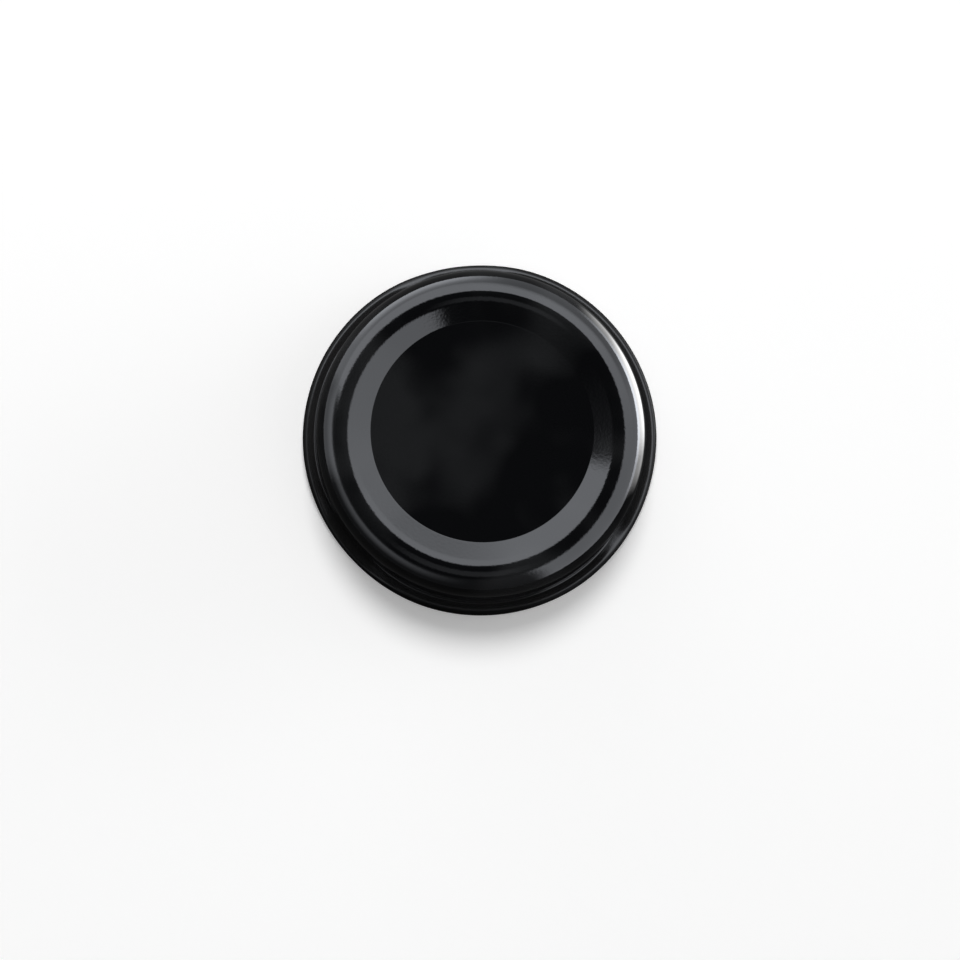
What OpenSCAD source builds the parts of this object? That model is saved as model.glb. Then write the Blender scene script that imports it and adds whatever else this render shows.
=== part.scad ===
// Twist-off jar lid: a pressed and curled tinplate cap with three lugs,
// and the flowed-in sealing ring that it carries in its channel.
// Z is the axis of the lid, and Z = 0 is the plane that the curled edge rests on.

/* [Lid] */
// Outside diameter over the curled edge
lid_d = 45.5; // [40:0.5:56]
// Overall height, from the resting plane to the crest of the rim
lid_h = 9.6; // [9:0.1:12]
// Thickness of the tinplate
sheet_t = 0.18; // [0.15:0.01:0.22]

/* [Top] */
// Radial distance from the outside of the skirt to the crest of the rim
crest_inset = 3.5; // [3.3:0.05:4.2]
// Outside bend radius at the crest of the rim
crest_bend = 1.5; // [1.2:0.1:1.8]
// Slope of the rim on both sides where it leaves the crest, in degrees
crest_fall = 10; // [8:1:12]
// Slope of the rim where the shoulder starts, in degrees
shoulder_fall = 19; // [17:1:21]
// Outside bend radius of the shoulder
shoulder_bend = 3; // [2.6:0.1:3.1]
// Radial width of the sloping ring between the crest and the sunken panel
ring_w = 3.5; // [3:0.1:4.5]
// Slope of that ring, in degrees
ring_slope = 20; // [16:1:26]
// Bend radius by which the upper part of the ring eases into the crest
ring_bend = 5.6; // [4:0.2:6.4]
// Inside bend radius where the ring meets the panel
panel_bend = 0.5; // [0.3:0.05:0.9]

/* [Skirt and curl] */
// Flare of the skirt towards its lower edge, in degrees
skirt_flare = 2.5; // [1.5:0.5:3.5]
// Radial distance from the outside of the curl to the outside of the skirt
skirt_inset = 1.6; // [1.5:0.05:1.8]
// Diameter of the curl's section
curl_d = 1.9; // [1.8:0.05:2.1]
// Roundness of the curl's section, where 1 is a full round and less is flatter on top
curl_round = 0.8; // [0.75:0.05:1]
// Height of the neck between the curl and the straight skirt
neck_h = 0.45; // [0.4:0.05:0.7]
// Share of the curl's radius that the tucked-in raw edge ends at
tuck = 0.45; // [0.4:0.01:0.5]

/* [Lugs] */
// Number of lugs
lug_count = 3; // [3:1:4]
// Radial width of the flattened curl at a lug
lug_w = 2.55; // [2.3:0.05:2.8]
// Height of the flattened curl at a lug
lug_h = 1.1; // [1.05:0.05:1.3]
// Clearance under a lug, above the resting plane
lug_lift = 0.1; // [0:0.05:0.3]
// Angle that the full depth of a lug spans, in degrees
lug_span = 22; // [16:1:26]
// Angle over which each end of a lug fades into the curl, in degrees
lug_fade = 9; // [7:1:11]
// Angle from the middle of a lug to the end of the dent above it, in degrees
dent_reach = 37; // [32:1:40]
// Depth of the dent above each lug, at the foot of the skirt
dent = 0.45; // [0.35:0.05:0.8]
// How far the outside of the curl is drawn in at a lug
edge_dent = 0.15; // [0.1:0.05:0.35]
// Height on the skirt at which the dents start
dent_top = 4.2; // [3.8:0.1:4.8]
// Thinning of the tinplate on each face where the lugs are formed
thinning = 0.01; // [0.01:0.005:0.02]

/* [Sealing ring] */
// Thickness of the ring under the crest of the rim
seal_t = 1.05; // [0.9:0.05:1.4]
// Radial width of the flat land that the jar's mouth meets
land_w = 2.1; // [1.8:0.1:2.4]
// Radial distance from the inside of the wall to the land
land_inset = 1.25; // [1.1:0.05:1.5]
// Height of the fillet of compound that runs from the land down the wall
seal_drop = 0.7; // [0.4:0.05:1]
// Radial width of the feathered inner edge of the ring
feather_w = 0.8; // [0.6:0.1:1]

/* [Hidden] */
$fn = 144;
ROUND_STEP = 6; // largest angle between two points on a bend
FREE_STEPS = 5; // steps along a free curve of the compound
FULLNESS = 0.6; // how far along its tangent a free curve's handle reaches
TUCK_FROM = 0.55; // share of the curl's turn after which the raw edge tucks in
CURL_START = 105; // angles on the curl's section at which the sheet enters and ends
CURL_END = -250;
CURL_STEPS = 16;
DENT_STEPS = 3; // steps of the middle line down the dent, and through the neck
NECK_STEPS = 3;
LUG_STEPS = 26; // stations round each lug
LAP_ANGLE = 1; // how far a lug's ends run on inside the turned sheet, in degrees
LAP_RISE = 0.25; // how far its top edge does

half_t = sheet_t / 2;
outer_r = lid_d / 2;
skirt_r = outer_r - skirt_inset;
neck_top = curl_d + neck_h;
crest_r = skirt_r - crest_inset;
panel_r = crest_r - ring_w;

function polar(a) = [cos(a), sin(a)];
function mix(a, b, s) = a + (b - a) * s;
function smooth(s) = let (u = min(max(s, 0), 1)) u * u * (3 - 2 * u);

// Points along an arc from angle a0 to a1. With on = true its first point is left out,
// for an arc that runs on from the last one.
function arc(c, r, a0, a1, on = false) =
    let (n = ceil(abs(a1 - a0) / ROUND_STEP))
    [for (i = [on ? 1 : 0:n]) c + r * polar(mix(a0, a1, i / n))];

// A point on a cubic curve with four control points, and points along all of it.
function bezier(p, u) = let (v = 1 - u)
    v * v * v * p[0] + 3 * v * v * u * p[1] + 3 * v * u * u * p[2] + u * u * u * p[3];
function free_curve(p) = [for (i = [0:FREE_STEPS]) bezier(p, i / FREE_STEPS)];

// Crest, dome and shoulder are one compound curve of three tangent arcs.
// The dome's radius is the one that brings the shoulder onto the skirt.
crest_c = [crest_r, lid_h - crest_bend];
dome_run = sin(shoulder_fall) - sin(crest_fall);
dome_drop = cos(shoulder_fall) - cos(crest_fall);
fixed_run = crest_r + crest_bend * sin(crest_fall)
    + shoulder_bend * (cos(skirt_flare) - sin(shoulder_fall));
fixed_z = crest_c[1] + crest_bend * cos(crest_fall)
    + shoulder_bend * (sin(skirt_flare) - cos(shoulder_fall));
dome_bend = (skirt_r - fixed_run - (fixed_z - neck_top) * tan(skirt_flare))
    / (dome_run + dome_drop * tan(skirt_flare));
dome_c = crest_c + (crest_bend - dome_bend) * polar(90 - crest_fall);
shoulder_c = dome_c + (dome_bend - shoulder_bend) * polar(90 - shoulder_fall);

// The ring falls from the crest to the panel, and a fillet joins it to the panel.
ease_c = crest_c + (crest_bend - ring_bend) * polar(90 + crest_fall);
ring_top = ease_c + ring_bend * polar(90 + ring_slope);
panel_z = ring_top[1] - (ring_top[0] - panel_r) * tan(ring_slope);
panel_c = [panel_r - panel_bend * tan(ring_slope / 2), panel_z + panel_bend];

// Radius of the middle line of the sheet at height z, on the skirt, and on skirt or shoulder.
function skirt_mid(z) =
    skirt_r - (z - neck_top) * tan(skirt_flare) - half_t / cos(skirt_flare);
function wall_mid(z) =
    let (bend = shoulder_bend - half_t, rise = z - shoulder_c[1])
    rise < bend * sin(skirt_flare) ? skirt_mid(z) : shoulder_c[0] + sqrt(bend * bend - rise * rise);

// Middle line of the sheet from the axis to the foot of the shoulder.
function top_path() = concat(
    [[0, panel_z - half_t]],
    arc(panel_c, panel_bend + half_t, -90, ring_slope - 90),
    arc(ease_c, ring_bend - half_t, 90 + ring_slope, 90 + crest_fall),
    arc(crest_c, crest_bend - half_t, 90 + crest_fall, 90 - crest_fall, on = true),
    arc(dome_c, dome_bend - half_t, 90 - crest_fall, 90 - shoulder_fall, on = true),
    arc(shoulder_c, shoulder_bend - half_t, 90 - shoulder_fall, skirt_flare, on = true));

// A point on the curl's section, a round that is filled out towards a square, and the way
// along it towards smaller angles.
function on_curl(w) = [for (v = polar(w)) sign(v) * pow(abs(v), curl_round)];
function along_curl(w) =
    [sin(w) * pow(abs(cos(w)), curl_round - 1), -cos(w) * pow(abs(sin(w)), curl_round - 1)];

// Middle line of the sheet from dent_top, down the skirt, through the neck and round the curl.
// d is the share of the dent, and s the share of the lug's flattening.
function edge_path(d, s) =
    let (
        a = mix(curl_d, lug_w, s) / 2 - half_t,
        b = mix(curl_d, lug_h, s) / 2 - half_t,
        c = [outer_r - edge_dent * d - a - half_t, mix(0, lug_lift, s) + b + half_t],
        neck_z = c[1] + b + half_t + neck_h,
        drop = dent_top - neck_z,
        curl = [for (i = [0:CURL_STEPS])
            let (u = i / CURL_STEPS, w = mix(CURL_START, CURL_END, u),
                k = mix(1, tuck, smooth((u - TUCK_FROM) / (1 - TUCK_FROM))), p = on_curl(w))
            c + k * [a * p[0], b * p[1]]],
        way = along_curl(CURL_START),
        out = [a * way[0], b * way[1]],
        heel = curl[0] - FULLNESS * neck_h * out / norm(out),
        foot = [skirt_mid(neck_z) - dent * d, neck_z],
        neck = [foot, [foot[0], curl[0][1]], heel, curl[0]]
    )
    concat(
        [for (i = [0:DENT_STEPS - 1]) let (u = i / DENT_STEPS, z = dent_top - drop * u)
            [skirt_mid(z) - dent * d * smooth(u), z]],
        [for (i = [0:NECK_STEPS - 1]) bezier(neck, i / NECK_STEPS)],
        curl);

// Both faces of a sheet of half thickness h that follows a path, as one closed outline.
// The outer face comes first.
function across(path, i) =
    let (n = len(path), v = path[min(i + 1, n - 1)] - path[max(i - 1, 0)])
    [-v[1], v[0]] / norm(v);
function outline(path, h) = let (n = len(path)) concat(
    [for (i = [0:n - 1]) path[i] + h * across(path, i)],
    [for (i = [n - 1:-1:0]) path[i] - h * across(path, i)]);

module sheet_section() {
    polygon(outline(concat(top_path(), edge_path(0, 0)), half_t));
}

// Room cut from the turned body for one lug: a wedge up to the top of the dent.
module lug_room() {
    far = 2 * lid_d;
    translate([0, 0, -lid_h])
        linear_extrude(lid_h + dent_top)
            polygon([[0, 0], far * polar(-dent_reach), [far, 0], far * polar(dent_reach)]);
}

// One lug with its dent: the sheet's section changes from station to station.
// Its ends and its top edge lap inside the turned sheet, so it is formed a little thinner.
function lug_turn(i) = (dent_reach + LAP_ANGLE) * (2 * i / LUG_STEPS - 1);
function dent_share(a) = (1 + cos(180 * min(abs(a) / dent_reach, 1))) / 2;
function lug_share(a) = smooth(1 - (abs(a) - lug_span / 2) / lug_fade);
function lug_section(a) =
    outline(concat([[skirt_mid(dent_top + LAP_RISE), dent_top + LAP_RISE]],
        edge_path(dent_share(a), lug_share(a))), half_t - thinning);

module formed_lug() {
    sections = [for (i = [0:LUG_STEPS]) lug_section(lug_turn(i))];
    n = len(sections[0]);
    last = LUG_STEPS * n;
    points = [for (i = [0:LUG_STEPS]) for (p = sections[i])
        [p[0] * cos(lug_turn(i)), p[0] * sin(lug_turn(i)), p[1]]];
    sides = [for (i = [0:LUG_STEPS - 1]) for (j = [0:n - 1])
        let (a = i * n + j, b = i * n + (j + 1) % n) each [[a, b + n, b], [a, a + n, b + n]]];
    // Each end is a strip of the sheet, so its cap zigzags between the two faces.
    strip = [for (j = [0:n / 2 - 2])
        each [[j, j + 1, n - 1 - j], [j + 1, n - 2 - j, n - 1 - j]]];
    ends = [for (f = strip) each [f, [f[2] + last, f[1] + last, f[0] + last]]];
    polyhedron(points, concat(sides, ends), convexity = 8);
}

module shell() {
    color([0.02, 0.02, 0.022]) union() {
        difference() {
            rotate_extrude() sheet_section();
            for (k = [0:lug_count - 1]) rotate(360 / lug_count * k) lug_room();
        }
        for (k = [0:lug_count - 1]) rotate(360 / lug_count * k) formed_lug();
    }
}

// The compound fills the channel, from a feathered edge under the sloping ring to a fillet
// on the wall. Its section runs on to the middle of the sheet, which is then taken away.
module sealing_ring() {
    land_z = lid_h - sheet_t - seal_t;
    land_out = wall_mid(land_z) - half_t - land_inset;
    land_in = land_out - land_w;
    foot = [wall_mid(land_z - seal_drop), land_z - seal_drop];
    feather_r = land_in - feather_w;
    feather = [feather_r,
        ring_top[1] - (ring_top[0] - feather_r) * tan(ring_slope) - half_t / cos(ring_slope)];
    channel = [for (p = top_path()) if (p[0] > feather[0] && p[1] > foot[1]) p];
    fillet = free_curve([foot, [foot[0], mix(foot[1], land_z, FULLNESS)],
        [mix(land_out, foot[0], FULLNESS), land_z], [land_out, land_z]]);
    edge = free_curve([[land_in, land_z], [mix(land_in, feather_r, FULLNESS), land_z],
        mix([land_in, land_z], feather, FULLNESS), feather]);
    color([0.86, 0.84, 0.78]) rotate_extrude() difference() {
        polygon(concat(channel, fillet, edge));
        sheet_section();
    }
}

shell();
sealing_ring();
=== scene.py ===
"""Looks of a twist-off jar lid: its lacquered shell, its sealing ring and a plain studio."""
import logging
import math
from collections.abc import Sequence
from dataclasses import dataclass
from enum import Enum
from typing import Any

import bpy
from mathutils import Matrix, Vector


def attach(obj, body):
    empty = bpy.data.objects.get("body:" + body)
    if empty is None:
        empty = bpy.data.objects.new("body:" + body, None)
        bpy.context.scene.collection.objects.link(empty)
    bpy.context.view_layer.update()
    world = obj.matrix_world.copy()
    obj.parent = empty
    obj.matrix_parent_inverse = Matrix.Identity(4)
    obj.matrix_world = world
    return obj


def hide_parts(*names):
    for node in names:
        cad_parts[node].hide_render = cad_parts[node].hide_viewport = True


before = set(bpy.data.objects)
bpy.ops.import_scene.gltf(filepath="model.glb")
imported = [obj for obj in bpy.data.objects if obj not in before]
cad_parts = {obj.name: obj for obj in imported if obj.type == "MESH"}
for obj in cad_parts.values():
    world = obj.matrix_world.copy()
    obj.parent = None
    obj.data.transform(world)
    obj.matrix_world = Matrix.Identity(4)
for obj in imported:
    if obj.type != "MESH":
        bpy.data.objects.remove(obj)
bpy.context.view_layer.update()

log = logging.getLogger("lid")

MM = 0.001
BODY = "root"
WHITE = (1.0, 1.0, 1.0)
LEAST_AWAY = 0.001  # keeps a division away from the axis itself
MIX_SHARE, MIX_LOW, MIX_HIGH, MIX_RESULT = 0, 6, 7, 2  # a Mix node's sockets for colours

Point = tuple[float, float]
Spot = tuple[float, float, float]
Colour = tuple[float, float, float]


def mix(a: float, b: float, share: float) -> float:
    """Returns the value that lies the given share of the way from a to b."""
    return a + (b - a) * share


def smooth(share: float) -> float:
    """Returns an S-shaped ramp from 0 to 1 as share goes from 0 to 1."""
    u = min(max(share, 0.0), 1.0)
    return u * u * (3 - 2 * u)


def cosd(angle: float) -> float:
    """Returns the cosine of an angle in degrees."""
    return math.cos(math.radians(angle))


def sind(angle: float) -> float:
    """Returns the sine of an angle in degrees."""
    return math.sin(math.radians(angle))


def tand(angle: float) -> float:
    """Returns the tangent of an angle in degrees."""
    return math.tan(math.radians(angle))


def moved(start: Point, reach: float, angle: float) -> Point:
    """Returns the point that lies a reach away at an angle in degrees."""
    return (start[0] + reach * cosd(angle), start[1] + reach * sind(angle))


def toward(turn: float, tilt: float) -> Vector:
    """Returns the way at a turn about the axis and a tilt from straight up, in degrees."""
    flat = sind(tilt)
    return Vector((flat * cosd(turn), flat * sind(turn), cosd(tilt)))


def arc(centre: Point, radius: float, start: float, end: float, steps: int) -> list[Point]:
    """Lists points along an arc of a section.

    Args:
        centre: The arc's centre, as radius and height.
        radius: The arc's radius.
        start: The angle of the first point, in degrees.
        end: The angle of the last point, in degrees.
        steps: The number of steps between them.

    Returns:
        The points from start to end, both included.
    """
    turns = [mix(start, end, i / steps) for i in range(steps + 1)]
    return [(centre[0] + radius * cosd(a), centre[1] + radius * sind(a)) for a in turns]


def line(start: Point, end: Point, steps: int) -> list[Point]:
    """Lists the points between two others, with neither end.

    Args:
        start: The point before the first one.
        end: The point after the last one.
        steps: The number of steps from start to end.

    Returns:
        The points between them, which are one fewer than the steps.
    """
    shares = [i / steps for i in range(1, steps)]
    return [(mix(start[0], end[0], s), mix(start[1], end[1], s)) for s in shares]


def bezier(handles: Sequence[Point], steps: int) -> list[Point]:
    """Lists points along a cubic curve.

    Args:
        handles: The curve's four control points.
        steps: The number of steps along it.

    Returns:
        The points from the first control point to the last, both included.
    """
    points = []
    for i in range(steps + 1):
        u = i / steps
        v = 1 - u
        weights = (v * v * v, 3 * v * v * u, 3 * v * u * u, u * u * u)
        points.append(tuple(sum(w * p[k] for w, p in zip(weights, handles)) for k in (0, 1)))
    return points


class Value:
    """A shader socket that takes part in Python arithmetic, a Math node for each operation."""

    def __init__(self, graph: "Graph", socket: bpy.types.NodeSocket) -> None:
        """Wraps one output socket of a graph."""
        self.graph = graph
        self.socket = socket

    def math(self, operation: str, *others: "Value | float") -> "Value":
        """Puts this value through a Math node.

        Args:
            operation: The node's operation.
            others: The node's further operands.

        Returns:
            The node's result.
        """
        sockets = dict(enumerate((self, *others)))
        return self.graph.value("ShaderNodeMath", {"operation": operation}, sockets)

    def __add__(self, other: "Value | float") -> "Value":
        """Returns the sum."""
        return self.math("ADD", other)

    def __radd__(self, other: float) -> "Value":
        """Returns the sum with a number on the left."""
        return self.math("ADD", other)

    def __sub__(self, other: "Value | float") -> "Value":
        """Returns the difference."""
        return self.math("SUBTRACT", other)

    def __rsub__(self, other: float) -> "Value":
        """Returns a number less this value."""
        return self.graph.value("ShaderNodeMath", {"operation": "SUBTRACT"}, {0: other, 1: self})

    def __mul__(self, other: "Value | float") -> "Value":
        """Returns the product."""
        return self.math("MULTIPLY", other)

    def __rmul__(self, other: float) -> "Value":
        """Returns the product with a number on the left."""
        return self.math("MULTIPLY", other)

    def __truediv__(self, other: "Value | float") -> "Value":
        """Returns the quotient."""
        return self.math("DIVIDE", other)

    def ramp(self, low: float, high: float) -> "Value":
        """Turns this value into a soft mask.

        Args:
            low: The value at which the mask is 0.
            high: The value at which the mask is 1, which may be below low.

        Returns:
            The mask, which runs smoothly from 0 to 1.
        """
        settings = {"interpolation_type": "SMOOTHSTEP"}
        sockets = {"Value": self, "From Min": low, "From Max": high}
        return self.graph.value("ShaderNodeMapRange", settings, sockets, "Result")


class Ray(Enum):
    """The kinds of ray that the studio answers to, by their outputs of the Light Path node."""

    CAMERA = "Is Camera Ray"
    DIFFUSE = "Is Diffuse Ray"
    GLOSSY = "Is Glossy Ray"
    TRANSMISSION = "Is Transmission Ray"


class Graph:
    """The node tree of a material or a world."""

    def __init__(self, owner: bpy.types.Material | bpy.types.World) -> None:
        """Empties the owner's node tree and keeps it.

        Args:
            owner: The material or world.
        """
        owner.use_nodes = True
        self.owner = owner
        self.tree = owner.node_tree
        self.tree.nodes.clear()

    def node(
        self,
        kind: str,
        settings: dict[str, Any] | None = None,
        sockets: dict[str | int, Any] | None = None,
    ) -> bpy.types.Node:
        """Adds a node.

        Args:
            kind: The node's type.
            settings: The node's own settings, set before its sockets.
            sockets: A value or a link for each input that is named or numbered.

        Returns:
            The new node.
        """
        made = self.tree.nodes.new(kind)
        for name, setting in (settings or {}).items():
            setattr(made, name, setting)
        for key, feed in (sockets or {}).items():
            if isinstance(feed, Value):
                self.tree.links.new(feed.socket, made.inputs[key])
            else:
                made.inputs[key].default_value = feed
        return made

    def value(
        self,
        kind: str,
        settings: dict[str, Any] | None = None,
        sockets: dict[str | int, Any] | None = None,
        output: str | int = 0,
    ) -> Value:
        """Adds a node and returns one of its outputs.

        Args:
            kind: The node's type.
            settings: The node's own settings.
            sockets: A value or a link for each input.
            output: The output's name or number.

        Returns:
            That output.
        """
        return Value(self, self.node(kind, settings, sockets).outputs[output])

    def split(self, vector: Value) -> tuple[Value, Value, Value]:
        """Takes a vector apart.

        Args:
            vector: The vector.

        Returns:
            Its X, Y and Z.
        """
        parts = self.node("ShaderNodeSeparateXYZ", None, {0: vector}).outputs
        return Value(self, parts["X"]), Value(self, parts["Y"]), Value(self, parts["Z"])

    def ray(self, kind: Ray) -> Value:
        """Returns 1 for one kind of ray and 0 for the others."""
        return self.value("ShaderNodeLightPath", output=kind.value)

    def noise(self, place: Value, scale: float, detail: float = 2.0) -> Value:
        """Adds a noise texture.

        Args:
            place: Where the noise is read.
            scale: How many of its features fit in one unit.
            detail: How many finer layers it has.

        Returns:
            The noise, between 0 and 1.
        """
        sockets = {"Vector": place, "Scale": scale, "Detail": detail}
        return self.value("ShaderNodeTexNoise", None, sockets)

    def place(self) -> Value:
        """Returns the point on the object as a vector, in the object's own metres."""
        return self.value("ShaderNodeTexCoord", output="Object")

    def vector(self, operation: str, *operands: Value | Spot, output: str = "Vector") -> Value:
        """Puts vectors through a Vector Math node.

        Args:
            operation: The node's operation.
            operands: The vectors.
            output: The output's name.

        Returns:
            The node's result.
        """
        sockets = dict(enumerate(operands))
        return self.value("ShaderNodeVectorMath", {"operation": operation}, sockets, output)

    def principled(self, sockets: dict[str | int, Any]) -> Value:
        """Returns a Principled shader with the values and links of its sockets."""
        return self.value("ShaderNodeBsdfPrincipled", None, sockets)

    def bump(self, height: Value, distance: float) -> Value:
        """Returns a normal that follows a height.

        Args:
            height: The height, between 0 and 1.
            distance: The height in metres that 1 stands for.

        Returns:
            The bumped normal.
        """
        sockets = {"Height": height, "Strength": 1.0, "Distance": distance}
        return self.value("ShaderNodeBump", None, sockets, "Normal")

    def blend(self, share: Value, low: Colour | Value, high: Colour) -> Value:
        """Returns a colour between two others.

        Args:
            share: Where the result lies between them.
            low: The colour at 0.
            high: The colour at 1.

        Returns:
            The blended colour.
        """
        settings = {"data_type": "RGBA"}
        first = low if isinstance(low, Value) else (*low, 1.0)
        sockets = {MIX_SHARE: share, MIX_LOW: first, MIX_HIGH: (*high, 1.0)}
        return self.value("ShaderNodeMix", settings, sockets, MIX_RESULT)

    def surface(self, shader: Value) -> None:
        """Sends a shader to the material's or world's output."""
        kind = "World" if isinstance(self.owner, bpy.types.World) else "Material"
        self.node(f"ShaderNodeOutput{kind}", None, {"Surface": shader})


class Face(Enum):
    """The two faces of the sheet, numbered as the shell's material slots."""

    OUTSIDE = 0
    INSIDE = 1


@dataclass(frozen=True)
class BlackLacquer:
    """Gloss black lacquer on the tinplate's outside, with faint cloudy reflections painted into its
    colour, duller on the curl with a painted sheen there, and a painted dark rim at its edge, where
    it reflects less.

    Heights and radii are in metres.
    """

    name: str = "black_lacquer"
    colour: Colour = (0.0015, 0.0016, 0.0019)
    # The next colour is painted reflection: faint cloudy reflections in the lacquer, which the
    # cloud settings size and place.
    clouded_reflection: Colour = (0.0105, 0.011, 0.0117)
    smoothest: float = 0.055
    roughest: float = 0.085
    index: float = 1.62
    cloud_scale: float = 75.0
    reflection_shift: Spot = (0.013, 0.021, 0.0)
    cloud_from: float = 0.44
    cloud_full: float = 0.68
    peel_scale: float = 3000.0
    peel_detail: float = 1.0
    peel_height: float = 0.0000045
    # The next colour is a painted sheen: the curl below a height is lighter, and its coat rougher.
    painted_sheen: Colour = (0.013, 0.0129, 0.013)
    curl_rough: float = 0.18
    sheen_below: float = 0.00185
    sheen_soft: float = 0.0002
    # At the curl's outermost edge the coat has a low index and reflects less: a painted dark rim.
    dark_rim_from: float = 0.02207
    dark_rim_full: float = 0.02236
    dark_rim_index: float = 1.15
    dark_rim_rough: float = 0.3

    def glossy(self, graph: Graph) -> Value:
        """Makes the coat as it is on most of the sheet, with its painted cloudy reflections and the
        curl's painted sheen.

        Args:
            graph: The finish's node tree.

        Returns:
            The coat's shader.
        """
        place = graph.place()
        # Painted reflection: a noise of faint cloudy reflections lightens the black and roughens
        # the coat a little.
        shifted = graph.vector("ADD", place, self.reflection_shift)
        clouds = graph.noise(shifted, self.cloud_scale).ramp(self.cloud_from, self.cloud_full)
        peel = graph.noise(place, self.peel_scale, self.peel_detail)
        height = graph.split(place)[2]
        # Painted sheen: the curl below this height is lighter in colour and rougher.
        painted_sheen = height.ramp(self.sheen_below + self.sheen_soft, self.sheen_below)
        sheet = graph.blend(clouds, self.colour, self.clouded_reflection)
        gloss = clouds * (self.roughest - self.smoothest) + self.smoothest
        return graph.principled(
            {
                # The black with its painted reflections, and the painted sheen on the curl.
                "Base Color": graph.blend(painted_sheen, sheet, self.painted_sheen),
                "Roughness": gloss + painted_sheen * (self.curl_rough - self.smoothest),
                "IOR": self.index,
                "Normal": graph.bump(peel, self.peel_height),
            }
        )

    def dark_rim(self, graph: Graph) -> Value:
        """Makes the coat at the curl's outermost edge, which reflects less as a painted dark rim
        and has the painted sheen's colour.

        Args:
            graph: The finish's node tree.

        Returns:
            The coat's shader.
        """
        return graph.principled(
            {
                "Base Color": (*self.painted_sheen, 1.0),
                "Roughness": self.dark_rim_rough,
                "IOR": self.dark_rim_index,
            }
        )

    def make(self) -> bpy.types.Material:
        """Makes the finish.

        Returns:
            The finish as a material.
        """
        material = bpy.data.materials.new(self.name)
        graph = Graph(material)
        flat = graph.vector("MULTIPLY", graph.place(), (1.0, 1.0, 0.0))
        away = graph.vector("LENGTH", flat, output="Value")
        # Painted shade: the dark rim where the curl's outermost edge reflects less.
        edge = away.ramp(self.dark_rim_from, self.dark_rim_full)
        sockets = {0: edge, 1: self.glossy(graph), 2: self.dark_rim(graph)}
        graph.surface(graph.value("ShaderNodeMixShader", None, sockets))
        return material


@dataclass(frozen=True)
class GoldLacquer:
    """Clear gold lacquer over bright tin on the inside of the sheet."""

    name: str = "gold_lacquer"
    colour: Colour = (0.72, 0.52, 0.22)
    deeper: Colour = (0.62, 0.42, 0.15)
    smoothest: float = 0.2
    roughest: float = 0.34
    grain: Spot = (0.06, 1.0, 1.0)
    grain_scale: float = 4200.0
    grain_height: float = 0.000002
    cloud_scale: float = 160.0
    cloud_from: float = 0.3
    cloud_full: float = 0.75
    metallic: float = 1.0
    coat: float = 0.6
    coat_rough: float = 0.08

    def make(self) -> bpy.types.Material:
        """Makes the finish.

        Returns:
            The finish as a material.
        """
        material = bpy.data.materials.new(self.name)
        graph = Graph(material)
        place = graph.place()
        rolled = graph.noise(graph.vector("MULTIPLY", place, self.grain), self.grain_scale)
        clouds = graph.noise(place, self.cloud_scale).ramp(self.cloud_from, self.cloud_full)
        sockets = {
            "Base Color": graph.blend(clouds, self.colour, self.deeper),
            "Metallic": self.metallic,
            "Roughness": rolled * (self.roughest - self.smoothest) + self.smoothest,
            "Normal": graph.bump(rolled, self.grain_height),
            "Coat Weight": self.coat,
            "Coat Roughness": self.coat_rough,
        }
        graph.surface(graph.principled(sockets))
        return material


@dataclass(frozen=True)
class SealingCompound:
    """Cured off-white compound, smooth where it flowed."""

    name: str = "sealing_compound"
    colour: Colour = (0.74, 0.71, 0.63)
    shaded: Colour = (0.66, 0.62, 0.53)
    shaded_from: float = 0.35
    shaded_full: float = 0.7
    smoothest: float = 0.34
    roughest: float = 0.5
    flow_scale: float = 340.0
    flow_detail: float = 3.0
    flow_height: float = 0.00002
    milky: float = 0.15
    milky_reach: Spot = (0.0012, 0.0009, 0.0006)
    milky_scale: float = 1.0

    def make(self) -> bpy.types.Material:
        """Makes the finish.

        Returns:
            The finish as a material.
        """
        material = bpy.data.materials.new(self.name)
        graph = Graph(material)
        flow = graph.noise(graph.place(), self.flow_scale, self.flow_detail)
        shaded = flow.ramp(self.shaded_from, self.shaded_full)
        sockets = {
            "Base Color": graph.blend(shaded, self.colour, self.shaded),
            "Roughness": flow * (self.roughest - self.smoothest) + self.smoothest,
            "Normal": graph.bump(flow, self.flow_height),
            "Subsurface Weight": self.milky,
            "Subsurface Radius": self.milky_reach,
            "Subsurface Scale": self.milky_scale,
        }
        graph.surface(graph.principled(sockets))
        return material


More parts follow.
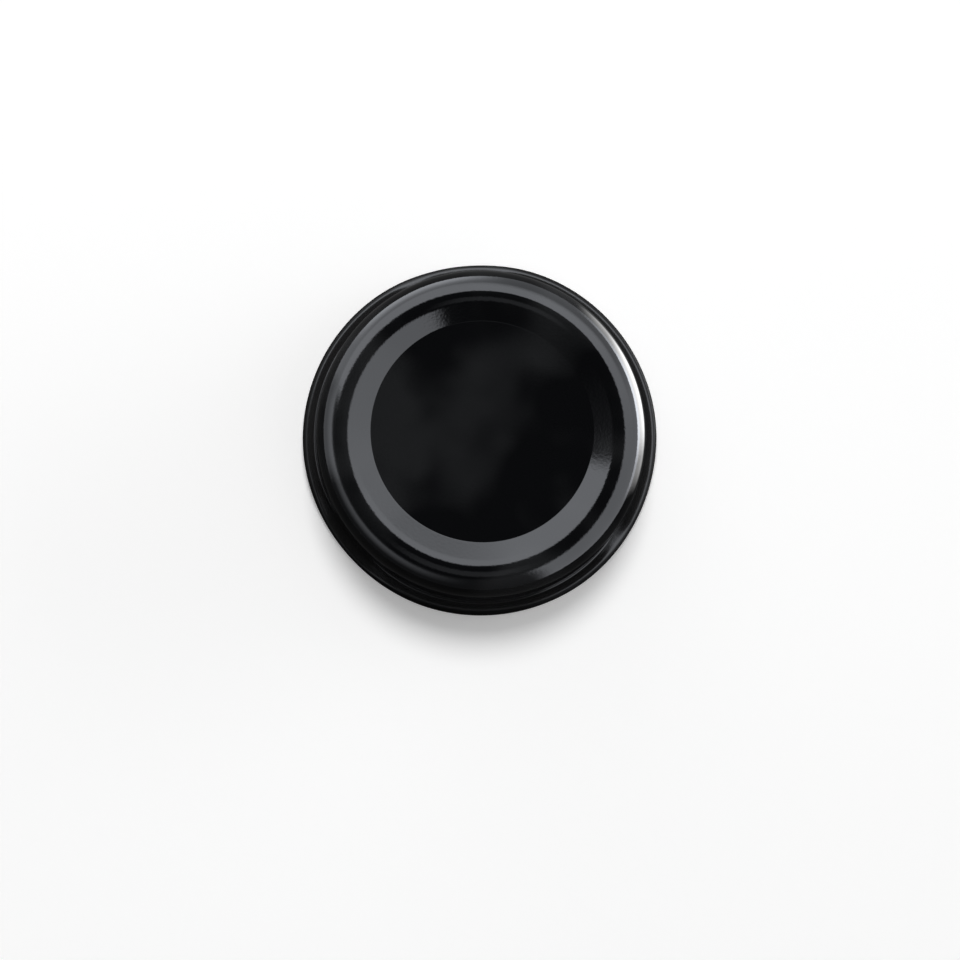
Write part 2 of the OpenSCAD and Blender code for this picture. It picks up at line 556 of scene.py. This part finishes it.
class TurnedMesh:
    """A mesh made of rows of points that run round the Z axis."""

    def __init__(self, turns: int) -> None:
        """Starts an empty mesh.

        Args:
            turns: The number of points in each row.
        """
        self.turns = turns
        self.points: list[Spot] = []
        self.faces: list[tuple[int, ...]] = []
        self.slots: list[int] = []

    def sweep(self, loops: Sequence[Sequence[Point]], slot: int, flip: bool) -> list[list[int]]:
        """Adds a band of faces from one section for each turn.

        Args:
            loops: A section for each turn, in mm, all with as many points.
            slot: The material slot of the faces.
            flip: Whether the faces look to the other side.

        Returns:
            The rows of point numbers, one for each point of the section.
        """
        rows = []
        for j in range(len(loops[0])):
            row = []
            for i in range(self.turns):
                r, z = loops[i][j]
                turn = 360 * i / self.turns
                row.append(len(self.points))
                self.points.append((r * cosd(turn) * MM, r * sind(turn) * MM, z * MM))
            rows.append(row)
        for before, after in zip(rows, rows[1:]):
            self.join(before, after, slot, flip)
        return rows

    def join(self, before: Sequence[int], after: Sequence[int], slot: int, flip: bool) -> None:
        """Adds a band of quads between two rows.

        Args:
            before: The first row of point numbers.
            after: The second row.
            slot: The material slot of the quads.
            flip: Whether they look to the other side.
        """
        for i in range(self.turns):
            n = (i + 1) % self.turns
            quad = (before[i], after[i], after[n], before[n])
            self.faces.append(quad[::-1] if flip else quad)
            self.slots.append(slot)

    def cap(self, row: Sequence[int], z: float, slot: int, flip: bool) -> None:
        """Closes a row with a fan about the axis.

        Args:
            row: The row of point numbers.
            z: The height of the fan's middle, in mm.
            slot: The material slot of the fan.
            flip: Whether it looks down.
        """
        middle = len(self.points)
        self.points.append((0.0, 0.0, z * MM))
        for i in range(self.turns):
            fan = (middle, row[i], row[(i + 1) % self.turns])
            self.faces.append(fan[::-1] if flip else fan)
            self.slots.append(slot)

    def make(self, name: str, finishes: Sequence[bpy.types.Material]) -> bpy.types.Object:
        """Makes the object.

        Args:
            name: The object's name.
            finishes: A material for each slot.

        Returns:
            The object, shaded smooth and linked to the scene.
        """
        mesh = bpy.data.meshes.new(name)
        mesh.from_pydata(self.points, [], self.faces)
        for finish in finishes:
            mesh.materials.append(finish)
        mesh.polygons.foreach_set("material_index", self.slots)
        mesh.polygons.foreach_set("use_smooth", [True] * len(self.faces))
        mesh.update()
        piece = bpy.data.objects.new(name, mesh)
        bpy.context.scene.collection.objects.link(piece)
        return piece


@dataclass
class Shell:
    """The pressed sheet with its panel, ring, rim, shoulder, skirt, curl and lugs.

    Sizes are in mm, and slopes, turns and spans in degrees.
    """

    name: str = "pressed_shell"
    node: str = "shell"
    slot: str = "lacquered_tinplate"
    lid_d: float = 45.5
    lid_h: float = 9.6
    sheet_t: float = 0.18
    crest_inset: float = 3.5
    crest_bend: float = 1.5
    crest_fall: float = 10.0
    shoulder_fall: float = 19.0
    shoulder_bend: float = 3.0
    ring_w: float = 3.5
    ring_slope: float = 20.0
    ring_bend: float = 5.6
    panel_bend: float = 0.5
    skirt_flare: float = 2.5
    skirt_inset: float = 1.6
    curl_d: float = 1.9
    curl_round: float = 0.8  # 1 is a round, and less is fuller at the corners
    neck_h: float = 0.45
    tuck: float = 0.45  # share of the curl's size that is left at the raw edge
    tuck_from: float = 0.55  # share of the way round at which it starts to close
    curl_start: float = 105.0
    curl_end: float = -250.0
    fullness: float = 0.6  # how far the handles of the soft curves reach
    lug_count: int = 3
    lug_w: float = 2.55
    lug_h: float = 1.1
    lug_lift: float = 0.1
    lug_span: float = 22.0
    lug_fade: float = 9.0
    lug_ease: float = 3.5  # added to the fade at each of its ends, for smooth reflections
    seat: Point = (-0.02, 0.004)  # keeps the curl inside the solids' box
    dent_reach: float = 37.0
    dent: float = 0.45
    edge_dent: float = 0.15
    dent_top: float = 4.2
    hem: float = 0.03  # from a bend to the close point on the flat beside it
    turns: int = 360
    panel_steps: int = 6
    fillet_steps: int = 8
    ring_steps: int = 4
    ease_steps: int = 5
    crest_steps: int = 8
    dome_steps: int = 5
    shoulder_steps: int = 24
    wall_steps: int = 4
    skirt_steps: int = 8
    neck_steps: int = 8
    curl_steps: int = 44

    @property
    def half_t(self) -> float:
        """Half the sheet's thickness."""
        return self.sheet_t / 2

    @property
    def skirt_r(self) -> float:
        """Radius of the skirt's outside at its foot."""
        return self.lid_d / 2 - self.skirt_inset

    @property
    def neck_top(self) -> float:
        """Height at which the straight skirt starts."""
        return self.curl_d + self.neck_h

    @property
    def crest(self) -> Point:
        """Centre of the bend at the crest of the rim."""
        return (self.skirt_r - self.crest_inset, self.lid_h - self.crest_bend)

    @property
    def dome_bend(self) -> float:
        """Works out the dome's bend, so that crest, dome and shoulder run smoothly onto the skirt.

        Returns:
            The radius of the dome's arc.
        """
        run = sind(self.shoulder_fall) - sind(self.crest_fall)
        drop = cosd(self.shoulder_fall) - cosd(self.crest_fall)
        slope = tand(self.skirt_flare)
        fixed_run = (
            self.crest[0]
            + self.crest_bend * sind(self.crest_fall)
            + self.shoulder_bend * (cosd(self.skirt_flare) - sind(self.shoulder_fall))
        )
        fixed_z = (
            self.crest[1]
            + self.crest_bend * cosd(self.crest_fall)
            + self.shoulder_bend * (sind(self.skirt_flare) - cosd(self.shoulder_fall))
        )
        room = self.skirt_r - fixed_run - (fixed_z - self.neck_top) * slope
        return room / (run + drop * slope)

    @property
    def dome(self) -> Point:
        """Centre of the dome's arc."""
        return moved(self.crest, self.crest_bend - self.dome_bend, 90 - self.crest_fall)

    @property
    def shoulder(self) -> Point:
        """Centre of the shoulder's arc."""
        return moved(self.dome, self.dome_bend - self.shoulder_bend, 90 - self.shoulder_fall)

    @property
    def ease(self) -> Point:
        """Centre of the arc that eases the ring into the crest."""
        return moved(self.crest, self.crest_bend - self.ring_bend, 90 + self.crest_fall)

    @property
    def ring_top(self) -> Point:
        """Upper edge of the sloping ring, on the outside."""
        return moved(self.ease, self.ring_bend, 90 + self.ring_slope)

    @property
    def panel_r(self) -> float:
        """Radius at which the ring's slope would meet the panel."""
        return self.crest[0] - self.ring_w

    @property
    def panel_z(self) -> float:
        """Height of the panel's outside."""
        return self.ring_top[1] - (self.ring_top[0] - self.panel_r) * tand(self.ring_slope)

    def skirt_mid(self, z: float) -> float:
        """Returns the radius of the sheet's middle line on the skirt at height z."""
        slant = self.half_t / cosd(self.skirt_flare)
        return self.skirt_r - (z - self.neck_top) * tand(self.skirt_flare) - slant

    def wall_mid(self, z: float) -> float:
        """Finds the wall of skirt and shoulder at a height.

        Args:
            z: The height.

        Returns:
            The radius of the sheet's middle line.
        """
        bend = self.shoulder_bend - self.half_t
        rise = z - self.shoulder[1]
        if rise < bend * sind(self.skirt_flare):
            return self.skirt_mid(z)
        return self.shoulder[0] + math.sqrt(bend * bend - rise * rise)

    def top_path(self) -> list[Point]:
        """Lists the sheet's middle line from beside the axis to the foot of the shoulder.

        Returns:
            Points as radius and height, with close ones where a flat meets a bend.
        """
        half = self.half_t
        fillet_r = self.panel_r - self.panel_bend * tand(self.ring_slope / 2)
        centre = (fillet_r, self.panel_z + self.panel_bend)
        fillet = arc(
            centre, self.panel_bend + half, -90, self.ring_slope - 90, self.fillet_steps
        )
        rising, falling = 90 + self.crest_fall, 90 - self.crest_fall
        ease = arc(
            self.ease, self.ring_bend - half, 90 + self.ring_slope, rising, self.ease_steps
        )
        crest = arc(self.crest, self.crest_bend - half, rising, falling, self.crest_steps)
        steep = 90 - self.shoulder_fall
        dome = arc(self.dome, self.dome_bend - half, falling, steep, self.dome_steps)
        shoulder = arc(
            self.shoulder, self.shoulder_bend - half, steep, self.skirt_flare, self.shoulder_steps
        )
        flat_z = self.panel_z - half
        panel = [(fillet_r * i / self.panel_steps, flat_z) for i in range(1, self.panel_steps)]
        rise = tand(self.ring_slope)
        ring = [
            (fillet[-1][0] + self.hem, fillet[-1][1] + self.hem * rise),
            (ease[0][0] - self.hem, ease[0][1] - self.hem * rise),
        ]
        return [
            *panel,
            (fillet_r - self.hem, flat_z),
            *fillet,
            ring[0],
            *line(ring[0], ring[1], self.ring_steps),
            ring[1],
            *ease,
            *crest[1:],
            *dome[1:],
            *shoulder[1:],
        ]

    def on_curl(self, angle: float) -> Point:
        """Finds a point on the curl's section, a round that is filled out towards a square.

        Args:
            angle: The point's angle on the round.

        Returns:
            The point, with half the section's width and height as 1.
        """
        c, s = cosd(angle), sind(angle)
        power = self.curl_round
        return (math.copysign(abs(c) ** power, c), math.copysign(abs(s) ** power, s))

    def along_curl(self, angle: float) -> Point:
        """Finds the way along the curl's section towards smaller angles.

        Args:
            angle: The point's angle on the round.

        Returns:
            The way along the section, with half its width and height as 1.
        """
        c, s = cosd(angle), sind(angle)
        power = self.curl_round - 1
        return (s * abs(c) ** power, -c * abs(s) ** power)

    def edge_path(self, dent_share: float, lug_share: float) -> list[Point]:
        """Lists the sheet's middle line down the skirt, through the neck and round the curl.

        Args:
            dent_share: The share of the dent's depth at this place.
            lug_share: The share of the lug's flattening at this place.

        Returns:
            Points as radius and height.
        """
        half = self.half_t
        a = mix(self.curl_d, self.lug_w, lug_share) / 2 - half
        b = mix(self.curl_d, self.lug_h, lug_share) / 2 - half
        centre_r = self.lid_d / 2 - self.edge_dent * dent_share - a - half + self.seat[0]
        centre_z = mix(0, self.lug_lift, lug_share) + b + half + self.seat[1]
        neck_z = centre_z + b + half + self.neck_h
        curl = []
        for i in range(self.curl_steps + 1):
            u = i / self.curl_steps
            w = mix(self.curl_start, self.curl_end, u)
            k = mix(1, self.tuck, smooth((u - self.tuck_from) / (1 - self.tuck_from)))
            place = self.on_curl(w)
            curl.append((centre_r + k * a * place[0], centre_z + k * b * place[1]))
        way = self.along_curl(self.curl_start)
        out = (a * way[0], b * way[1])
        reach = self.fullness * self.neck_h / math.hypot(*out)
        heel = (curl[0][0] - reach * out[0], curl[0][1] - reach * out[1])
        foot = (self.skirt_mid(neck_z) - self.dent * dent_share, neck_z)
        neck = bezier((foot, (foot[0], curl[0][1]), heel, curl[0]), self.neck_steps)
        skirt = []
        for i in range(self.skirt_steps):
            u = i / self.skirt_steps
            z = mix(self.dent_top, neck_z, u)
            skirt.append((self.skirt_mid(z) - self.dent * dent_share * smooth(u), z))
        return [*skirt, *neck[:-1], *curl]

    def middle_line(self, turn: float) -> list[Point]:
        """Lists the whole middle line of the sheet in the plane at one angle.

        Args:
            turn: The angle about the lid's axis, in degrees.

        Returns:
            Points as radius and height, from beside the axis to the raw edge.
        """
        pitch = 360 / self.lug_count
        away = abs((turn + pitch / 2) % pitch - pitch / 2)
        dent_share = (1 + cosd(180 * min(away / self.dent_reach, 1))) / 2
        start = self.lug_span / 2 - self.lug_ease
        lug_share = smooth(1 - (away - start) / (self.lug_fade + 2 * self.lug_ease))
        top = self.top_path()
        edge = self.edge_path(dent_share, lug_share)
        return [*top, *line(top[-1], edge[0], self.wall_steps), *edge]

    def faces_at(self, turn: float) -> tuple[list[Point], list[Point]]:
        """Lists the sheet's two faces in the plane at one angle.

        Args:
            turn: The angle about the lid's axis, in degrees.

        Returns:
            The outer and the inner face, from beside the axis to the raw edge.
        """
        path = self.middle_line(turn)
        outer, inner = [], []
        for i, (r, z) in enumerate(path):
            before = path[max(i - 1, 0)]
            after = path[min(i + 1, len(path) - 1)]
            along = Vector((after[0] - before[0], after[1] - before[1])).normalized()
            across = (-along[1] * self.half_t, along[0] * self.half_t)
            outer.append((r + across[0], z + across[1]))
            inner.append((r - across[0], z - across[1]))
        return outer, inner

    def build(self) -> bpy.types.Object:
        """Builds the sheet as one closed mesh, black outside and gold inside.

        Returns:
            The shell's object.
        """
        outer_loops, inner_loops = [], []
        for i in range(self.turns):
            outer, inner = self.faces_at(360 * i / self.turns)
            outer_loops.append(outer)
            inner_loops.append(inner)
        mesh = TurnedMesh(self.turns)
        top = mesh.sweep(outer_loops, Face.OUTSIDE.value, flip=False)
        under = mesh.sweep(inner_loops, Face.INSIDE.value, flip=True)
        mesh.cap(top[0], self.panel_z, Face.OUTSIDE.value, flip=False)
        mesh.cap(under[0], self.panel_z - self.sheet_t, Face.INSIDE.value, flip=True)
        mesh.join(top[-1], under[-1], Face.OUTSIDE.value, flip=False)
        piece = mesh.make(self.name, (BlackLacquer().make(), GoldLacquer().make()))
        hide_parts(self.node)
        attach(piece, BODY)
        return piece


@dataclass
class SealingRing:
    """The ring of compound in the shell's channel. Sizes in mm."""

    shell: Shell
    name: str = "flowed_sealing_ring"
    node: str = "sealing_ring"
    slot: str = "sealing_compound"
    seal_t: float = 1.05
    land_w: float = 2.1
    land_inset: float = 1.25
    seal_drop: float = 0.7
    feather_w: float = 0.8
    buried: float = 0.02  # how deep the ring's back lies in the sheet
    fillet_steps: int = 14
    land_steps: int = 6
    feather_steps: int = 10

    def section(self) -> list[Point]:
        """Lists the ring's section.

        Returns:
            Points as radius and height, as one closed loop.
        """
        shell = self.shell
        land_z = shell.lid_h - shell.sheet_t - self.seal_t
        land_out = shell.wall_mid(land_z) - shell.half_t - self.land_inset
        land_in = land_out - self.land_w
        foot_z = land_z - self.seal_drop
        foot = (shell.wall_mid(foot_z) - self.buried, foot_z)
        feather_r = land_in - self.feather_w
        slant = self.buried / cosd(shell.ring_slope)
        drop = (shell.ring_top[0] - feather_r) * tand(shell.ring_slope)
        mid_z = shell.ring_top[1] - drop - shell.half_t / cosd(shell.ring_slope)
        feather = (feather_r, mid_z - slant)
        channel = []
        for r, z in shell.top_path():
            if r > feather_r and z > foot_z:
                channel.append((r, z - self.buried))
        full = shell.fullness
        handles = (
            foot,
            (foot[0], mix(foot_z, land_z, full)),
            (mix(land_out, foot[0], full), land_z),
            (land_out, land_z),
        )
        fillet = bezier(handles, self.fillet_steps)
        handles = (
            (land_in, land_z),
            (mix(land_in, feather_r, full), land_z),
            (mix(land_in, feather[0], full), mix(land_z, feather[1], full)),
            feather,
        )
        edge = bezier(handles, self.feather_steps)
        return [*channel, *fillet, *line(fillet[-1], edge[0], self.land_steps), *edge]

    def build(self) -> bpy.types.Object:
        """Builds the ring.

        Returns:
            The ring's object.
        """
        section = self.section()
        mesh = TurnedMesh(self.shell.turns)
        rows = mesh.sweep([section] * self.shell.turns, 0, flip=False)
        mesh.join(rows[-1], rows[0], 0, flip=False)
        piece = mesh.make(self.name, (SealingCompound().make(),))
        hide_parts(self.node)
        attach(piece, BODY)
        return piece


class Sight:
    """A direction or a place as seen from the lid's axis, for masks in degrees."""

    def __init__(self, graph: Graph, vector: Value) -> None:
        """Takes the vector apart.

        Args:
            graph: The node tree that the masks go into.
            vector: The direction or the place.
        """
        self.x, self.y, self.z = graph.split(vector)
        square = self.x * self.x + self.y * self.y
        self.away = square.math("SQRT").math("MAXIMUM", LEAST_AWAY)

    def aside(self, turn: float, reach: float, soft: float) -> Value:
        """Masks a sector.

        Args:
            turn: The sector's middle, as a turn about the axis.
            reach: How far it goes to each side.
            soft: How far its edges fade, inwards and outwards.

        Returns:
            The mask.
        """
        facing = (self.x * cosd(turn) + self.y * sind(turn)) / self.away
        return facing.ramp(cosd(reach + soft), cosd(max(reach - soft, 0)))

    def fade(self, start: float, full: float) -> Value:
        """Returns a mask that is 0 at the tilt start and 1 at the tilt full, from straight up."""
        return self.z.ramp(cosd(start), cosd(full))


@dataclass(frozen=True)
class Patch:
    """A soft patch in the surroundings, of light or of shade. Angles in degrees.

    Each fade gives two tilts from straight up, at which the patch is out and full.
    """

    strength: float
    turn: float
    reach: float
    soft: float
    fades: tuple[tuple[float, float], ...]

    def glow(self, sight: Sight) -> Value:
        """Works out the patch's strength.

        Args:
            sight: The direction.

        Returns:
            The strength in that direction.
        """
        mask = sight.aside(self.turn, self.reach, self.soft)
        for start, full in self.fades:
            mask = mask * sight.fade(start, full)
        return mask * self.strength


@dataclass(frozen=True)
class Strip:
    """The bright strip light by the table's edge, with paler sides. Angles in degrees."""

    strength: float = 10.5
    turn: float = 40.0
    reach: float = 12.0
    side: float = 0.3
    side_reach: float = 30.0
    side_soft: float = 8.0

    def mask(self, sight: Sight) -> Value:
        """Masks the strip's sector.

        Args:
            sight: The direction or the place.

        Returns:
            The mask.
        """
        sides = sight.aside(self.turn, self.side_reach, self.side_soft) * self.side
        middle = sight.aside(self.turn, self.reach, self.reach) * (1 - self.side)
        return middle + sides


@dataclass
class Studio:
    """Floor, surroundings, table card and key light.

    Lengths are in metres and angles in degrees, with tilts from straight up.
    """

    floor_size: float = 3.0
    floor_colour: Colour = (0.86, 0.86, 0.86)
    floor_lift: float = 0.3  # added to the floor's own light, so that it shows white
    ceiling: float = 0.02
    ceiling_turn: float = -118.0
    ceiling_tilt: float = 4.2
    ceiling_reach: float = 31.5
    ceiling_soft: float = 2.0
    tent: float = 1.5
    tent_turn: float = 67.5
    tent_reach: float = 107.5
    tent_soft: float = 5.0
    window: Patch = Patch(1.3, 132.0, 16.0, 14.0, ((52.0, 84.0),))
    crown: Patch = Patch(0.4, 132.0, 75.0, 40.0, ((55.0, 45.0),))
    shade: Patch = Patch(0.5, 82.0, 22.0, 20.0, ((40.0, 50.0),))
    wall: Patch = Patch(0.5, -143.0, 45.0, 30.0, ((36.0, 48.0), (78.0, 44.0)))
    corner: Patch = Patch(0.5, -168.0, 16.0, 8.0, ((36.0, 48.0),))
    glow: Patch = Patch(0.2, -75.0, 26.0, 22.0, ((14.0, 18.0), (28.0, 25.0)))
    strip: Strip = Strip()
    strip_tilt: tuple[float, float] = (75.5, 78.5)
    dark: float = 0.05  # the least light of the walls
    fill: float = 0.22  # share of the surroundings that lights dull surfaces
    tint: Colour = (0.965, 1.0, 1.07)  # colour of the surroundings where they are mirrored
    key: float = 9.4
    key_turn: float = 112.0
    key_tilt: float = 36.0
    key_reach: float = 1.2
    key_size: float = 0.5

    def floor(self) -> bpy.types.Object:
        """Builds the floor, which keeps the lid's shadow and shows white to the camera.

        Returns:
            The floor's object.
        """
        half = self.floor_size / 2
        mesh = bpy.data.meshes.new("studio_floor")
        corners = [(-half, -half, 0), (half, -half, 0), (half, half, 0), (-half, half, 0)]
        mesh.from_pydata(corners, [], [(0, 1, 2, 3)])
        mesh.materials.append(self.floor_finish())
        floor = bpy.data.objects.new("studio_floor", mesh)
        floor.visible_diffuse = False
        bpy.context.scene.collection.objects.link(floor)
        return floor

    def floor_finish(self) -> bpy.types.Material:
        """Makes the floor's finish, pale from above and clear from below.

        Returns:
            The finish as a material.
        """
        material = bpy.data.materials.new("studio_floor")
        graph = Graph(material)
        seen = graph.ray(Ray.CAMERA) + graph.ray(Ray.GLOSSY)
        shown = (seen + graph.ray(Ray.TRANSMISSION)).math("MINIMUM", 1.0)
        sockets = {"Color": (*WHITE, 1.0), "Strength": shown * self.floor_lift}
        lift = graph.value("ShaderNodeEmission", None, sockets)
        matte = graph.value("ShaderNodeBsdfDiffuse", None, {"Color": (*self.floor_colour, 1.0)})
        front = graph.value("ShaderNodeAddShader", None, {0: matte, 1: lift})
        behind = graph.value("ShaderNodeNewGeometry", output="Backfacing")
        clear = graph.value("ShaderNodeBsdfTransparent")
        graph.surface(graph.value("ShaderNodeMixShader", None, {0: behind, 1: front, 2: clear}))
        return material

    def lights(self, sight: Sight) -> Value:
        """Puts together what the lid's lacquer reflects.

        Args:
            sight: The direction.

        Returns:
            The light from that direction.
        """
        middle = toward(self.ceiling_turn, self.ceiling_tilt)
        near = sight.x * middle.x + sight.y * middle.y + sight.z * middle.z
        reach, soft = self.ceiling_reach, self.ceiling_soft
        below = near.ramp(cosd(reach - soft), cosd(reach + soft))
        tent = sight.aside(self.tent_turn, self.tent_reach, self.tent_soft)
        dressed = 1 + self.window.glow(sight) + self.crown.glow(sight) - self.shade.glow(sight)
        walls = self.wall.glow(sight) + self.corner.glow(sight)
        sides = (tent * dressed + (1 - tent) * walls) * self.tent + self.dark
        strip = self.strip.mask(sight) * sight.fade(*self.strip_tilt) * self.strip.strength
        return below * sides + strip + self.glow.glow(sight) + self.ceiling

    def surroundings(self) -> bpy.types.World:
        """Makes the world: a dark ceiling, a softbox round three sides and a strip by the table.

        Returns:
            The world.
        """
        world = bpy.data.worlds.new("studio")
        graph = Graph(world)
        lights = self.lights(Sight(graph, graph.value("ShaderNodeTexCoord", output="Generated")))
        camera = graph.ray(Ray.CAMERA)
        lit = lights * (1 - camera) * (1 - graph.ray(Ray.DIFFUSE) * (1 - self.fill)) + camera
        colour = graph.blend(graph.ray(Ray.GLOSSY), WHITE, self.tint)
        graph.surface(graph.value("ShaderNodeBackground", None, {"Color": colour, "Strength": lit}))
        bpy.context.scene.world = world
        return world

    def key_light(self) -> bpy.types.Object:
        """Adds the soft key light that casts the lid's shadow and isn't seen in reflections.

        Returns:
            The lamp.
        """
        light = bpy.data.lights.new("key_light", "AREA")
        light.shape = "DISK"
        light.size = self.key_size
        light.energy = self.key
        lamp = bpy.data.objects.new("key_light", light)
        back = toward(self.key_turn, self.key_tilt)
        lamp.location = back * self.key_reach
        lamp.rotation_mode = "QUATERNION"
        lamp.rotation_quaternion = back.to_track_quat("Z", "Y")
        lamp.visible_camera = False
        lamp.visible_glossy = False
        bpy.context.scene.collection.objects.link(lamp)
        return lamp

    def build(self) -> None:
        """Builds the floor, the surroundings, the table card and the key light."""
        self.floor()
        self.surroundings()
        TableCard(self.strip).build()
        self.key_light()


@dataclass
class TableCard:
    """A thin card round the lid that only reflections see: dark, with a bright side.

    Lengths are in metres and angles in degrees.
    """

    strip: Strip
    inner: float = 0.02235
    outer: float = 1.4
    height: float = 0.00015
    turns: int = 96
    dark: float = 0.03
    far: float = 0.08  # added on the side towards the picture's top
    far_turn: float = 112.0
    far_reach: float = 45.0
    strip_from: float = 0.026
    strip_full: float = 0.033

    def build(self) -> bpy.types.Object:
        """Builds the card.

        Returns:
            The card's object.
        """
        points, faces = [], []
        for i in range(self.turns):
            turn = 360 * i / self.turns
            for r in (self.inner, self.outer):
                points.append((r * cosd(turn), r * sind(turn), self.height))
            a, b = 2 * i, 2 * ((i + 1) % self.turns)
            faces.append((a, a + 1, b + 1, b))
        mesh = bpy.data.meshes.new("table_card")
        mesh.from_pydata(points, [], faces)
        mesh.materials.append(self.finish())
        card = bpy.data.objects.new("table_card", mesh)
        card.visible_camera = False
        card.visible_diffuse = False
        card.visible_transmission = False
        card.visible_shadow = False
        bpy.context.scene.collection.objects.link(card)
        return card

    def finish(self) -> bpy.types.Material:
        """Makes the card's glow.

        Returns:
            The glow as a material.
        """
        material = bpy.data.materials.new("table_card")
        graph = Graph(material)
        sight = Sight(graph, graph.place())
        rise = sight.away.ramp(self.strip_from, self.strip_full)
        strip = self.strip.mask(sight) * rise * self.strip.strength
        far = sight.aside(self.far_turn, self.far_reach, self.far_reach) * self.far
        sockets = {"Color": (*WHITE, 1.0), "Strength": strip + far + self.dark}
        graph.surface(graph.value("ShaderNodeEmission", None, sockets))
        return material


@dataclass
class LongLens:
    """The camera: almost straight above, leaning a little to the lower side of the picture.

    Lengths are in metres and angles in degrees, but lens and sensor are in mm.
    """

    distance: float = 0.69
    lens: float = 201.9
    sensor: float = 36.0
    lean: float = 7.2
    lean_turn: float = -84.6
    up_turn: float = 112.0
    drop: float = 0.00529
    aim_z: float = 0.001

    def build(self) -> bpy.types.Object:
        """Makes the scene's camera.

        Returns:
            The camera's object.
        """
        up = Vector((cosd(self.up_turn), sind(self.up_turn), 0))
        aim = Vector((0, 0, self.aim_z)) - up * self.drop
        back = toward(self.lean_turn, self.lean)
        right = up.cross(back).normalized()
        upright = back.cross(right)
        optics = bpy.data.cameras.new("long_lens")
        optics.lens = self.lens
        optics.sensor_width = self.sensor
        camera = bpy.data.objects.new("long_lens", optics)
        turned = Matrix((right, upright, back)).transposed().to_4x4()
        turned.translation = aim + back * self.distance
        camera.matrix_world = turned
        bpy.context.scene.collection.objects.link(camera)
        bpy.context.scene.camera = camera
        return camera


def main() -> None:
    """Builds the lid and its studio, and reports each piece."""
    logging.basicConfig(level=logging.INFO, format="%(name)s: %(message)s")
    bpy.context.scene.view_settings.view_transform = "Standard"
    LongLens().build()
    Studio().build()
    shell = Shell()
    for piece in (shell.build(), SealingRing(shell).build()):
        mesh = piece.data
        log.info("%s: %d faces, %d points", piece.name, len(mesh.polygons), len(mesh.vertices))


if __name__ == "__main__":
    main()
